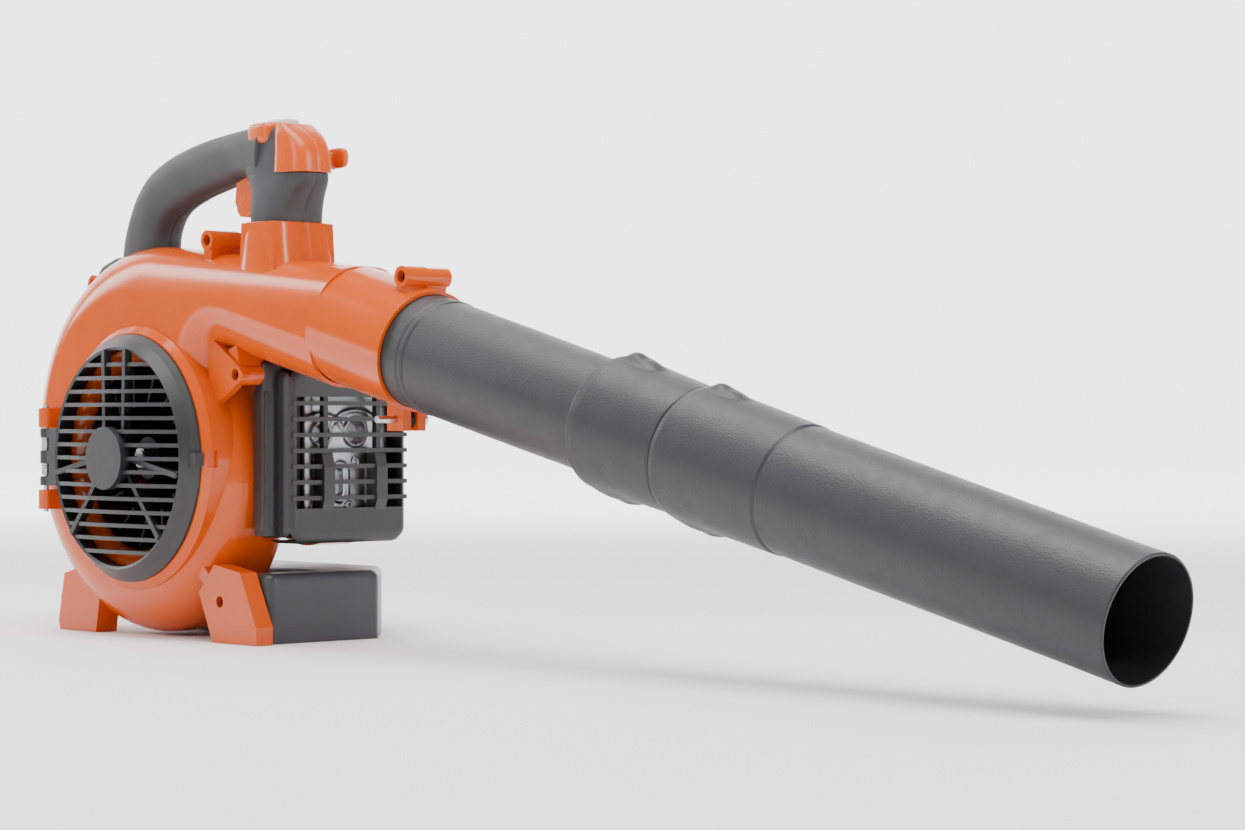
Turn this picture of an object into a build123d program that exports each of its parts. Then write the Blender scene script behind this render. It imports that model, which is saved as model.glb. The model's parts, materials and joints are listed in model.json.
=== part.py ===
"""Hand-held petrol leaf blower: fan scroll, two-stroke engine, loop handle and three-piece tube.

Millimetres, +Z up. +X runs forward along the blow tube, -Y is the air-intake side.
The origin lies on the ground, straight under the fan axis, in the plane where the
two scroll halves meet.
"""
from build123d import *
import os
from math import cos, radians, sin

# ---- driving dimensions -------------------------------------------------
FAN_Z = 134.3          # height of the crank and fan axis
WALL = 2.5             # moulded wall thickness
CLEAR = 0.3            # gap between moving pieces
SLIP = 0.02            # radial slip fit of a turned piece on its shaft
SCROLL_HALF = 40.0     # half width of the fan scroll
SCROLL_ROUND = 34.0    # rounding of the scroll's shoulders
SCROLL_RIGHT = 105.0   # scroll reach forward of the axis
SCROLL_LOW = 132.0     # below the axis
SCROLL_TOP = 160.0     # above the axis
DUCT_SLOPE = 6.2       # fall of the duct's roof, degrees
TUBE_PITCH = 14.0      # fall of the blow tube, degrees
COLLAR_X = 296.7       # centre of the outlet rim
COLLAR_Z = 210.4
COLLAR_LONG = 82.0
COLLAR_R = 43.0
COLLAR_BORE = 40.6
TONGUE_ROUND = 12.0
RING_FACE = -46.0      # front of the inlet ring
RING_IN = 84.0
RING_OUT = 99.0
TUBE_WALL = 2.0
TUBE_R = 40.2          # upper tube at the collar
TUBE_R_END = 37.8      # and where the coupling starts
COUPLING_S = 201.0     # distances along the tube from the outlet rim
NOZZLE_S = 279.0
NOZZLE_STEP_S = 372.0
TIP_S = 648.0
TIP_R = 38.9
GRILLE_R = 92.8
GRILLE_OPEN_R = 81.0
GRILLE_TOP = -72.0     # front of the middle boss
FIN_PITCH = 10.0
FIN_THICK = 3.0
FIN_COUNT = 15
HINGE_X = -107.5
HINGE_Y = -51.0
HINGE_PIN_R = 2.0
IMPELLER_R = 86.0
BLADES = 14
SHAFT_R = 6.0
ENGINE_Y = 89.0        # plane of the cylinder and connecting rod
CRANK_THROW = 14.0
ROD_LONG = 52.0
BORE_R = 17.5
SCREW_R = 2.4
SCREW_HEAD_R = 4.0
SCREW_HEAD = 3.4
GRIP_HALF = 18.0
BLOCK_HALF = 26.0
FOOT_FACE = -33.0
CLAMP_X = 274.0
CLAMP_Z = 163.5
MOUNT_R = 50.0
MOUNT_ANGLES = (20, 160, 225, 315)
FLYWHEEL_R = 43.0
TANK_TOP = 51.0

# Screw bosses of the scroll: x, z, depth of the boss's face, and where its rib meets the wall.
CASE_SCREWS = [(72.0, 295.5, -27.0, 70.0, 281.0), (293.0, 262.0, -20.0, 290.0, 252.0),
               (112.0, 196.0, -30.0, 106.0, 216.0), (97.0, 30.0, FOOT_FACE, 70.0, 52.0),
               (-96.0, 268.0, -16.0, -90.0, 260.0), (-112.0, 24.0, -30.0, -92.0, 48.0)]

pitch = radians(TUBE_PITCH)
TUBE_DIR = (cos(pitch), 0, -sin(pitch))
TUBE_AXIS = Axis((COLLAR_X, 0, COLLAR_Z), TUBE_DIR)
TUBE_SIDE = Plane(origin=(COLLAR_X, 0, COLLAR_Z), x_dir=TUBE_DIR, z_dir=(0, -1, 0))
FAN_AXIS = Axis((0, 0, FAN_Z), (0, 1, 0))
os.makedirs("parts", exist_ok=True)
finished = []


def facing(y):
    """Sketch plane across the machine at depth y, seen from the intake side."""
    return Plane.XZ.offset(-y)


def disc_y(x, z, radius, y_from, y_to, mode=Mode.ADD):
    with BuildSketch(facing(y_to)) as face:
        with Locations((x, z)):
            Circle(radius)
    extrude(face.sketch, amount=y_to - y_from, mode=mode)


def disc_z(x, y, radius, z_from, z_to, mode=Mode.ADD):
    with BuildSketch(Plane.XY.offset(z_from)) as face:
        with Locations((x, y)):
            Circle(radius)
    extrude(face.sketch, amount=z_to - z_from, mode=mode)


def disc_x(y, z, radius, x_from, x_to, mode=Mode.ADD):
    with BuildSketch(Plane.YZ.offset(x_from)) as face:
        with Locations((y, z)):
            Circle(radius)
    extrude(face.sketch, amount=x_to - x_from, mode=mode)


def block(x_span, y_span, z_span, mode=Mode.ADD):
    with BuildSketch(Plane.XY.offset(z_span[0])) as face:
        with Locations(((x_span[0] + x_span[1]) / 2, (y_span[0] + y_span[1]) / 2)):
            Rectangle(x_span[1] - x_span[0], y_span[1] - y_span[0])
    extrude(face.sketch, amount=z_span[1] - z_span[0], mode=mode)


def plate_y(points, y_from, y_to, mode=Mode.ADD):
    """A flat plate with a polygon outline in X and Z."""
    with BuildSketch(facing(y_to)) as face:
        with BuildLine():
            Polyline(*points, close=True)
        make_face()
    extrude(face.sketch, amount=y_to - y_from, mode=mode)


def rib(start, end, y_from, y_to, half_width=5.0):
    """A plate joining two points in X and Z, half_width to each side."""
    run = Vector(end[0] - start[0], end[1] - start[1])
    side = run.normalized().rotate(Axis.Z, 90) * half_width
    plate_y([(start[0] + side.X, start[1] + side.Y), (end[0] + side.X, end[1] + side.Y),
             (end[0] - side.X, end[1] - side.Y), (start[0] - side.X, start[1] - side.Y)], y_from, y_to)


def turned(profile, mode=Mode.ADD):
    """A ring round the blow tube's axis from (distance, radius) points."""
    with BuildSketch(TUBE_SIDE) as face:
        with BuildLine():
            Polyline(*profile, close=True)
        make_face()
    revolve(face.sketch, axis=TUBE_AXIS, mode=mode)


def fan_turned(profile, mode=Mode.ADD):
    """A ring round the fan axis from (radius, y) points."""
    with BuildSketch(Plane.XY.offset(FAN_Z)) as face:
        with BuildLine():
            Polyline(*profile, close=True)
        make_face()
    revolve(face.sketch, axis=FAN_AXIS, mode=mode)


def finish(builder, name):
    builder.part.label = name
    export_step(builder.part, f"parts/{name}.step")
    finished.append(name)


# ---- fan scroll ---------------------------------------------------------
# Four arcs whose radii grow from the tongue round to the roof, then the duct.
ARC_LOW = 114.0
ARC_REAR = 148.0
ARC_TOP = 2 * SCROLL_LOW + (SCROLL_TOP - SCROLL_LOW) - ARC_REAR
ARC_FLANK = 150.0
low_x = SCROLL_RIGHT - ARC_LOW
low_z = ARC_LOW - SCROLL_LOW
rear_z = low_z + ARC_REAR - ARC_LOW
top_x = low_x + ARC_TOP - ARC_REAR
slope = radians(DUCT_SLOPE)
roof_start = (top_x + ARC_TOP * sin(slope), rear_z + ARC_TOP * cos(slope))


def along_tube(distance, offset):
    """Point in X and height above the fan axis at a distance along the tube."""
    return (COLLAR_X + distance * cos(pitch) + offset * sin(pitch),
            COLLAR_Z - FAN_Z - distance * sin(pitch) + offset * cos(pitch))


def scroll_outline(inset):
    """Closed outline of the scroll and duct, moved inwards by inset."""
    with BuildSketch() as outline:
        with BuildLine():
            CenterArc((low_x, low_z), ARC_LOW, 0, -90)
            CenterArc((low_x, rear_z), ARC_REAR, -90, -90)
            CenterArc((top_x, rear_z), ARC_TOP, 180, -90 - DUCT_SLOPE)
            flank = CenterArc((SCROLL_RIGHT - ARC_FLANK, low_z), ARC_FLANK, 0, 44)
            Line(roof_start, along_tube(-COLLAR_LONG, COLLAR_R))
            Line(along_tube(-COLLAR_LONG, COLLAR_R), along_tube(60, COLLAR_R))
            Line(along_tube(60, COLLAR_R), along_tube(60, -COLLAR_R))
            Line(along_tube(60, -COLLAR_R), flank @ 1)
        make_face()
        corner = outline.vertices().sort_by_distance(flank @ 1)[0]
        fillet(corner, TONGUE_ROUND)
        if inset:
            offset(amount=-inset, mode=Mode.REPLACE)
    return outline.sketch


def scroll_solid(inset, towards):
    """Half of the scroll's body, rounded on its shoulders; towards is -1 or 1 along Y."""
    depth = SCROLL_HALF - inset
    with BuildPart() as body:
        with BuildSketch(Plane(origin=(0, 0, FAN_Z), x_dir=(1, 0, 0), z_dir=(0, -1, 0))):
            add(scroll_outline(inset))
        extrude(amount=-towards * depth)
        rim = body.faces().sort_by(Axis.Y)[0 if towards < 0 else -1].edges()
        fillet(rim, SCROLL_ROUND - inset)
        beyond = Plane(origin=(COLLAR_X - (COLLAR_LONG - 2) * cos(pitch), 0,
                               COLLAR_Z + (COLLAR_LONG - 2) * sin(pitch)), z_dir=TUBE_DIR)
        with BuildSketch(beyond):
            Rectangle(400, 400)
        extrude(amount=260, mode=Mode.SUBTRACT)
    return body.part


def trim_half(towards):
    """Cut away everything on the other side of the joint plane."""
    span = (0, 200) if towards < 0 else (-200, 0)
    block((-200, 420), span, (-10, 420), mode=Mode.SUBTRACT)


outer_shape = scroll_solid(0, -1)
outer_hollow = scroll_solid(WALL, -1)
inner_shape = scroll_solid(0, 1)
inner_hollow = scroll_solid(WALL, 1)
FOOT_FRONT = [(71, 36), (90, 57), (122, 52), (142, 13), (142, 0), (88, 0)]
FOOT_REAR = [(-110, 44), (-118, 7), (-116, 0), (-66, 0), (-60, 30), (-84, 50)]

with BuildPart() as volute_outer_half:
    add(outer_shape)
    turned([(-COLLAR_LONG - 2, 0), (-COLLAR_LONG - 2, COLLAR_R), (0, COLLAR_R), (0, 0)])
    plate_y(FOOT_FRONT, FOOT_FACE, -18)
    plate_y(FOOT_REAR, FOOT_FACE, -14)
    plate_y([(78, 226), (112, 205), (122, 196), (110, 186), (80, 170)], -30, -24)
    plate_y([(115, 270), (157, 270), (153, 306), (117, 306)], -28, 0)
    fan_turned([(RING_IN, -36), (RING_IN, RING_FACE + 1), (RING_IN + 1, RING_FACE),
                (RING_OUT - 5, RING_FACE), (RING_OUT, RING_FACE + 5), (RING_OUT, -20), (RING_IN + 4, -20)])
    for x, z, face, root_x, root_z in CASE_SCREWS:
        disc_y(x, z, 7.5, face, 0)
        rib((x, z), (root_x, root_z), face + 2, 0)
    for z in (101.5, 164.5):
        block((HINGE_X - 6, HINGE_X + 6), (HINGE_Y, -38), (z - 7.5, z + 7.5))
        disc_z(HINGE_X, HINGE_Y, 6, z - 7.5, z + 7.5)
    block((CLAMP_X - 9, CLAMP_X + 9), (-10, -3), (CLAMP_Z - 8, CLAMP_Z + 14))
    add(outer_hollow, mode=Mode.SUBTRACT)
    turned([(-COLLAR_LONG - 4, 0), (-COLLAR_LONG - 4, COLLAR_BORE - 1), (-60, COLLAR_BORE),
            (1, COLLAR_BORE), (1, 0)], mode=Mode.SUBTRACT)
    disc_y(0, FAN_Z, RING_IN, -60, -30, mode=Mode.SUBTRACT)
    for x, z, face, root_x, root_z in CASE_SCREWS:
        disc_y(x, z, SCREW_R + 0.15, face - 1, 1, mode=Mode.SUBTRACT)
        disc_y(x, z, SCREW_HEAD_R + 0.3, face - 1, face + 8, mode=Mode.SUBTRACT)
    disc_z(HINGE_X, HINGE_Y, HINGE_PIN_R, 90, 180, mode=Mode.SUBTRACT)
    disc_y(CLAMP_X, CLAMP_Z, 2.65, -40, 10, mode=Mode.SUBTRACT)
    block((GRILLE_R + 3.5, GRILLE_R + 9), (-60, -36), (FAN_Z - 6, FAN_Z + 6), mode=Mode.SUBTRACT)
    trim_half(-1)

with BuildPart() as volute_inner_half:
    add(inner_shape)
    turned([(-COLLAR_LONG - 2, 0), (-COLLAR_LONG - 2, COLLAR_R), (0, COLLAR_R), (0, 0)])
    plate_y([(115, 270), (156, 270), (153, 306), (117, 306)], 0, 28)
    plate_y([(-84, 276), (-58, 284), (-63, 300), (-79, 298)], 4, 26)
    for x, z, face, root_x, root_z in CASE_SCREWS:
        disc_y(x, z, 6.8, 0, 20)
        rib((x, z), (root_x, root_z), 0, 18)
    block((CLAMP_X - 9, CLAMP_X + 9), (3, 10), (CLAMP_Z - 8, CLAMP_Z + 14))
    for angle in MOUNT_ANGLES:
        disc_y(MOUNT_R * cos(radians(angle)), FAN_Z + MOUNT_R * sin(radians(angle)), 5.5, 36, 62.8)
    add(inner_hollow, mode=Mode.SUBTRACT)
    turned([(-COLLAR_LONG - 4, 0), (-COLLAR_LONG - 4, COLLAR_BORE - 1), (-60, COLLAR_BORE),
            (1, COLLAR_BORE), (1, 0)], mode=Mode.SUBTRACT)
    disc_y(0, FAN_Z, 17, 30, 50, mode=Mode.SUBTRACT)
    for x, z, face, root_x, root_z in CASE_SCREWS:
        disc_y(x, z, SCREW_R + 0.15, -1, 15, mode=Mode.SUBTRACT)
    disc_y(CLAMP_X, CLAMP_Z, 2.65, -10, 40, mode=Mode.SUBTRACT)
    trim_half(1)

finish(volute_outer_half, "volute_outer_half")
finish(volute_inner_half, "volute_inner_half")

# ---- blow tube ----------------------------------------------------------
def tube_wall(stations):
    """Turned shell from (distance, outer radius, inner radius) stations."""
    outside = [(s, outer) for s, outer, inner in stations]
    inside = [(s, inner) for s, outer, inner in reversed(stations)]
    turned(outside + inside)


def lug(distance, side, radius, length, width, rise):
    """A rounded lock pad standing on the tube: side is 1 on top of it and -1 below."""
    base = Plane(origin=(COLLAR_X + distance * cos(pitch), 0, COLLAR_Z - distance * sin(pitch)),
                 x_dir=TUBE_DIR, z_dir=(side * sin(pitch), 0, side * cos(pitch)))
    with BuildSketch(base.offset(radius - 1)) as face:
        SlotOverall(length, width)
    extrude(face.sketch, amount=rise + 1)


with BuildPart() as upper_tube:
    tube_wall([(-60, TUBE_R, TUBE_R - TUBE_WALL), (24, TUBE_R, TUBE_R - TUBE_WALL),
               (COUPLING_S, TUBE_R_END, TUBE_R_END - TUBE_WALL),
               (COUPLING_S + 70, TUBE_R_END - 0.4, TUBE_R_END - TUBE_WALL - 0.4)])
    turned([(18, TUBE_R - 1), (18, TUBE_R + 0.7), (24, TUBE_R + 0.7), (24, TUBE_R - 1)])

with BuildPart() as coupling_tube:
    tube_wall([(COUPLING_S, 44.6, 38.4), (COUPLING_S + 8, 45.0, 38.4), (NOZZLE_S - 1, 42.2, 38.4),
               (NOZZLE_S, 40.0, 38.4), (NOZZLE_S + 60, 39.4, 37.9)])
    for side in (-1, 1):
        lug(COUPLING_S + 32, side, 43, 34, 16, 4)

with BuildPart() as nozzle_tube:
    tube_wall([(NOZZLE_S + 0.5, 43.6, 40.4), (NOZZLE_S + 4, 43.8, 40.4), (NOZZLE_STEP_S, 41.9, 39.9),
               (NOZZLE_STEP_S + 1, 41.3, 39.4), (TIP_S - 40, TIP_R, TIP_R - 1.8),
               (TIP_S, TIP_R, TIP_R - 1.8)])
    for side in (-1, 1):
        lug(NOZZLE_S + 24, side, 42.2, 32, 15, 4)

with BuildPart() as clamp_screw:
    disc_y(CLAMP_X, CLAMP_Z, 2.5, -26, 10.1)
    disc_y(CLAMP_X, CLAMP_Z, 4.5, 10.1, 16)

with BuildPart() as clamp_spacer:
    disc_y(CLAMP_X, CLAMP_Z, 6.5, -2.9, 2.9)
    disc_y(CLAMP_X, CLAMP_Z, 2.65, -3, 3, mode=Mode.SUBTRACT)

finish(upper_tube, "upper_tube")
finish(coupling_tube, "coupling_tube")
finish(nozzle_tube, "nozzle_tube")
finish(clamp_screw, "clamp_screw")
finish(clamp_spacer, "clamp_spacer")

# ---- intake grille ------------------------------------------------------
GRILLE_BACK = RING_FACE - CLEAR
FIN_DEPTH = 9.0
with BuildPart() as inlet_grille:
    fan_turned([(0, GRILLE_TOP + 4), (40, GRILLE_TOP + 7), (GRILLE_OPEN_R + 2, -58),
                (GRILLE_OPEN_R + 2, -58 + FIN_DEPTH), (40, GRILLE_TOP + 7 + FIN_DEPTH),
                (0, GRILLE_TOP + 4 + FIN_DEPTH)])
    with BuildSketch(facing(-40)) as fins:
        with Locations((0, FAN_Z)):
            with GridLocations(1, FIN_PITCH, 1, FIN_COUNT):
                Rectangle(2 * GRILLE_R, FIN_THICK)
    extrude(fins.sketch, amount=40, mode=Mode.INTERSECT)
    fan_turned([(GRILLE_OPEN_R, GRILLE_BACK), (GRILLE_OPEN_R, -58), (GRILLE_OPEN_R + 2, -59),
                (GRILLE_R - 4, -52), (GRILLE_R, -48), (GRILLE_R, GRILLE_BACK)])
    disc_y(0, FAN_Z, 23.5, GRILLE_TOP + 2, GRILLE_TOP + 10)
    for side in (-1, 1):
        rib((side * 12, FAN_Z), (side * 14, FAN_Z + 81), GRILLE_TOP + 11, GRILLE_TOP + 17, half_width=2)
        rib((side * 8, FAN_Z), (side * 58, FAN_Z - 58), GRILLE_TOP + 11, GRILLE_TOP + 17, half_width=2)
        rib((side * 20, FAN_Z), (side * 81, FAN_Z - 12), GRILLE_TOP + 11, GRILLE_TOP + 17, half_width=2)
    block((GRILLE_R - 12, GRILLE_R + 3), (-54, GRILLE_BACK), (FAN_Z - 5, FAN_Z + 5))
    block((HINGE_X, 4 - GRILLE_R), (HINGE_Y - 3, GRILLE_BACK), (FAN_Z - 22, FAN_Z + 22))
    disc_z(HINGE_X, HINGE_Y, 4.7, FAN_Z - 22, FAN_Z + 22)
    disc_z(HINGE_X, HINGE_Y, HINGE_PIN_R + 0.05, 90, 180, mode=Mode.SUBTRACT)
    for side in (-1, 1):
        gap = FAN_Z + side * 10
        block((HINGE_X - 8, HINGE_X + 8), (-60, -40), (gap - 5, gap + 5), mode=Mode.SUBTRACT)

with BuildPart() as grille_hinge_pin:
    disc_z(HINGE_X, HINGE_Y, HINGE_PIN_R - 0.01, 92, 174)

with BuildPart() as grille_springs:
    for side in (-1, 1):
        gap = FAN_Z + side * 10
        disc_z(HINGE_X, HINGE_Y, 4.2, gap - 4.5, gap + 4.5)
    disc_z(HINGE_X, HINGE_Y, HINGE_PIN_R + 0.3, 90, 180, mode=Mode.SUBTRACT)

finish(inlet_grille, "inlet_grille")
finish(grille_hinge_pin, "grille_hinge_pin")
finish(grille_springs, "grille_springs")

# ---- rotor --------------------------------------------------------------
with BuildPart() as impeller:
    fan_turned([(SHAFT_R + SLIP, -30), (16, -30), (18, -6), (40, 22), (IMPELLER_R, 27),
                (IMPELLER_R, 30), (30, 30), (16, 34), (SHAFT_R + SLIP, 34)])
    for blade in range(BLADES):
        lean = Plane(origin=(0, 0, FAN_Z), z_dir=(0, 1, 0)).rotated((0, 360 * blade / BLADES, 0))
        with BuildSketch(lean.offset(-30)) as foot:
            with Locations(Location((65, 10, 0), 24)):
                Rectangle(50, 2.4)
        extrude(foot.sketch, amount=58)
    fan_turned([(74, -31), (IMPELLER_R, -31), (IMPELLER_R, -28), (74, -28)])
    fan_turned([(IMPELLER_R, -40), (IMPELLER_R + 20, -40), (IMPELLER_R + 20, 40), (IMPELLER_R, 40)],
               mode=Mode.SUBTRACT)

with BuildPart() as impeller_nut:
    with BuildSketch(facing(-30)) as hexagon:
        with Locations((0, FAN_Z)):
            RegularPolygon(8, 6)
            Circle(SHAFT_R + SLIP, mode=Mode.SUBTRACT)
    extrude(hexagon.sketch, amount=7)

WEB_R = 24.0
JOURNAL_R = 7.5
with BuildPart() as crankshaft:
    disc_y(0, FAN_Z, SHAFT_R, -38, 62)
    disc_y(0, FAN_Z, JOURNAL_R, 62, 79)
    disc_y(0, FAN_Z, WEB_R, 78, 85)
    disc_y(0, FAN_Z + CRANK_THROW, 5, 85, 86.5)
    disc_y(0, FAN_Z, WEB_R, ENGINE_Y + 4, ENGINE_Y + 11)
    disc_y(0, FAN_Z + CRANK_THROW, 5, ENGINE_Y + 2.5, ENGINE_Y + 4)
    disc_y(0, FAN_Z, JOURNAL_R, ENGINE_Y + 11, 118)
    disc_y(0, FAN_Z, SHAFT_R, 118, 136)

with BuildPart() as flywheel:
    fan_turned([(SHAFT_R + SLIP, 45), (16, 45), (16, 50), (FLYWHEEL_R, 46), (FLYWHEEL_R, 58), (14, 58),
                (14, 61), (SHAFT_R + SLIP, 61)])
    for side in (-1, 1):
        disc_y(side * 36, FAN_Z, 5, 42, 50)

with BuildPart() as starter_cup:
    disc_y(0, FAN_Z, 20, 122, 131)
    disc_y(0, FAN_Z, 17, 125, 132, mode=Mode.SUBTRACT)
    disc_y(0, FAN_Z, SHAFT_R + SLIP, 120, 132, mode=Mode.SUBTRACT)

finish(impeller, "impeller")
finish(impeller_nut, "impeller_nut")
finish(crankshaft, "crankshaft")
finish(flywheel, "flywheel")
finish(starter_cup, "starter_cup")

# ---- engine -------------------------------------------------------------
CASE_JOINT = 89.0
CASE_TOP = FAN_Z + 34
BEARING_R = 16.0


def crankcase_half(y_wall, y_joint):
    low, high = sorted((y_wall, y_joint))
    disc_y(0, FAN_Z, 33, low, high)
    block((-30, 30), (low, high), (FAN_Z, CASE_TOP))
    disc_y(0, FAN_Z, 27, 77, 101, mode=Mode.SUBTRACT)
    disc_z(0, ENGINE_Y, 19.5, FAN_Z, CASE_TOP + 1, mode=Mode.SUBTRACT)
    disc_y(0, FAN_Z, BEARING_R + SLIP, 66, 112, mode=Mode.SUBTRACT)
    disc_y(0, FAN_Z, JOURNAL_R + 1, 60, 120, mode=Mode.SUBTRACT)


with BuildPart() as crankcase_inner_half:
    disc_y(0, FAN_Z, MOUNT_R + 7, 63, 67)
    block((-80, 80), (62, 68), (CASE_TOP, CASE_TOP + 60), mode=Mode.SUBTRACT)
    crankcase_half(63, CASE_JOINT)

with BuildPart() as crankcase_outer_half:
    crankcase_half(115, CASE_JOINT + 0.02)

BEARING_LONG = 9.0
with BuildPart() as crank_bearings:
    for start in (67, 102):
        end = start + BEARING_LONG
        disc_y(0, FAN_Z, BEARING_R, start, end)
        disc_y(0, FAN_Z, 13.5, start - 1, start + 2, mode=Mode.SUBTRACT)
        disc_y(0, FAN_Z, 13.5, end - 2, end + 1, mode=Mode.SUBTRACT)
        disc_y(0, FAN_Z, 10, start, end)
        disc_y(0, FAN_Z, JOURNAL_R + SLIP, start - 1, end + 1, mode=Mode.SUBTRACT)

CROWN_Z = FAN_Z + CRANK_THROW + ROD_LONG + 14
RING_STEPS = (2.0, 5.0)
with BuildPart() as cylinder:
    disc_z(0, ENGINE_Y, 23, CASE_TOP + 0.02, CROWN_Z + 12)
    block((-29, 29), (ENGINE_Y - 26, ENGINE_Y + 26), (CASE_TOP + 0.02, CASE_TOP + 5))
    for step in range(9):
        fin_z = CASE_TOP + 12 + 5.5 * step
        block((-30, 30), (ENGINE_Y - 27, ENGINE_Y + 27), (fin_z, fin_z + 1.8))
    disc_z(0, ENGINE_Y, BORE_R + 0.05, CASE_TOP - 1, CROWN_Z + 2, mode=Mode.SUBTRACT)
    block((22, 31), (ENGINE_Y - 15, ENGINE_Y + 15), (179, 201))
    disc_x(ENGINE_Y, 190, 7, 16, 32, mode=Mode.SUBTRACT)
    block((-31, -22), (ENGINE_Y - 15, ENGINE_Y + 15), (175, 197))
    disc_x(ENGINE_Y, 186, 6, -32, -16, mode=Mode.SUBTRACT)
    disc_z(0, ENGINE_Y, 5.1, CROWN_Z, CROWN_Z + 14, mode=Mode.SUBTRACT)

with BuildPart() as piston:
    disc_z(0, ENGINE_Y, BORE_R, CROWN_Z - 28, CROWN_Z)
    disc_z(0, ENGINE_Y, BORE_R - 3, CROWN_Z - 29, CROWN_Z - 6.5, mode=Mode.SUBTRACT)
    disc_y(0, CROWN_Z - 14, 4.02, ENGINE_Y - 20, ENGINE_Y + 20, mode=Mode.SUBTRACT)
    for step in RING_STEPS:
        with BuildSketch(Plane.XY.offset(CROWN_Z - step)) as groove:
            with Locations((0, ENGINE_Y)):
                Circle(BORE_R + 1)
                Circle(BORE_R - 1, mode=Mode.SUBTRACT)
        extrude(groove.sketch, amount=-1, mode=Mode.SUBTRACT)

with BuildPart() as piston_rings:
    for step in RING_STEPS:
        disc_z(0, ENGINE_Y, BORE_R, CROWN_Z - step - 0.98, CROWN_Z - step - 0.02)
    disc_z(0, ENGINE_Y, BORE_R - 1 + SLIP, CROWN_Z - 10, CROWN_Z, mode=Mode.SUBTRACT)

with BuildPart() as piston_pin:
    disc_y(0, CROWN_Z - 14, 4, ENGINE_Y - 14, ENGINE_Y + 14)
    disc_y(0, CROWN_Z - 14, 2.2, ENGINE_Y - 15, ENGINE_Y + 15, mode=Mode.SUBTRACT)

with BuildPart() as connecting_rod:
    with BuildSketch(facing(ENGINE_Y + 2)) as rod:
        with Locations((0, CROWN_Z - 14)):
            Circle(7)
        with Locations((0, CROWN_Z - 14 - ROD_LONG)):
            Circle(9)
        with Locations((0, CROWN_Z - 14 - ROD_LONG / 2)):
            Rectangle(6, ROD_LONG)
        with Locations((0, CROWN_Z - 14)):
            Circle(4.02, mode=Mode.SUBTRACT)
        with Locations((0, CROWN_Z - 14 - ROD_LONG)):
            Circle(5.3, mode=Mode.SUBTRACT)
    extrude(rod.sketch, amount=4)

with BuildPart() as spark_plug:
    disc_z(0, ENGINE_Y, 5, CROWN_Z + 2.2, CROWN_Z + 12)
    disc_z(0, ENGINE_Y, 9, CROWN_Z + 12.1, CROWN_Z + 21)
    disc_z(0, ENGINE_Y, 5, CROWN_Z + 21, CROWN_Z + 36)

with BuildPart() as plug_boot:
    disc_z(0, ENGINE_Y, 8, CROWN_Z + 27, CROWN_Z + 44)
    disc_x(ENGINE_Y, CROWN_Z + 38, 5, -26, 0)
    disc_z(0, ENGINE_Y, 5.05, CROWN_Z + 20, CROWN_Z + 36.05, mode=Mode.SUBTRACT)

with BuildPart() as ignition_module:
    block((-14, 14), (44, 60), (FAN_Z + 47, FAN_Z + 52))
    block((-16, 16), (42, 60), (FAN_Z + 52, FAN_Z + 80))

LEAD = [(-26.1, 89, CROWN_Z + 38), (-42, 89, CROWN_Z + 38), (-52, 72, CROWN_Z + 14),
        (-46, 52, FAN_Z + 68), (-16.1, 52, FAN_Z + 68)]
with BuildPart() as ignition_lead:
    with BuildLine() as lead_path:
        FilletPolyline(*LEAD, radius=7)
    with BuildSketch(Plane(origin=lead_path.line @ 0, z_dir=lead_path.line % 0)):
        Circle(2.5)
    sweep()

with BuildPart() as exhaust_gasket:
    block((31.02, 32), (ENGINE_Y - 15, ENGINE_Y + 15), (179, 201))
    disc_x(ENGINE_Y, 190, 7, 30, 33, mode=Mode.SUBTRACT)

with BuildPart() as muffler:
    block((32.02, 60), (ENGINE_Y - 15, ENGINE_Y + 15), (179, 200))
    block((58, 112), (49, 106), (92, 198))
    block((108.5, 124), (26, 106), (92, 198))
    fillet(muffler.edges().filter_by(Axis.X).group_by(Axis.Z)[0], 8)
    block((60, 110), (51, 104), (94, 196), mode=Mode.SUBTRACT)
    disc_x(ENGINE_Y, 190, 7, 30, 64, mode=Mode.SUBTRACT)

COVER_FRONT = 136.0
COVER_LOW, COVER_HIGH = 72.0, 203.0
COVER_WALL = 2.5
WINDOW_Y = (8, 106)
WINDOW_Z = (98, 180)
SLAT_PITCH = 11.6
SLAT_THICK = 3.2
with BuildPart() as muffler_cover:
    block((107.5, COVER_FRONT), (1, 112), (COVER_LOW, COVER_HIGH))
    fillet(muffler_cover.edges().filter_by(Axis.X), 12)
    fillet(muffler_cover.edges().group_by(Axis.X)[-1], 8)
    block((54, 120), (45, 112), (COVER_LOW + 2, COVER_HIGH - 2))
    block((107.5, 121), (-9.5, 20), (COVER_LOW + 6, 184))
    block((42, COVER_FRONT - COVER_WALL), (47.5, 109.5), (COVER_LOW + COVER_WALL, COVER_HIGH - COVER_WALL),
          mode=Mode.SUBTRACT)
    block((106, COVER_FRONT - COVER_WALL), (3.5, 109.5), (COVER_LOW + COVER_WALL, COVER_HIGH - COVER_WALL),
          mode=Mode.SUBTRACT)
    block((106, 118.5), (-7, 21), (COVER_LOW + 8.5, 181.5), mode=Mode.SUBTRACT)
    block((106, 140), WINDOW_Y, WINDOW_Z, mode=Mode.SUBTRACT)
    block((100, 122), (0, 21), (186, 210), mode=Mode.SUBTRACT)
    for step in range(7):
        slat_z = WINDOW_Z[0] + 6 + SLAT_PITCH * step
        block((131, 137), (4, 110), (slat_z, slat_z + SLAT_THICK))
    guard = [(126, 96), (134, 91), (139, 104), (139, 128), (135, 141), (126, 138)]
    for bar_y in (36, 85):
        block((129, 134), (bar_y - 2, bar_y + 2), (WINDOW_Z[0] - 2, WINDOW_Z[1] + 2))
        plate_y(guard, bar_y - 5, bar_y + 5)

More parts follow.
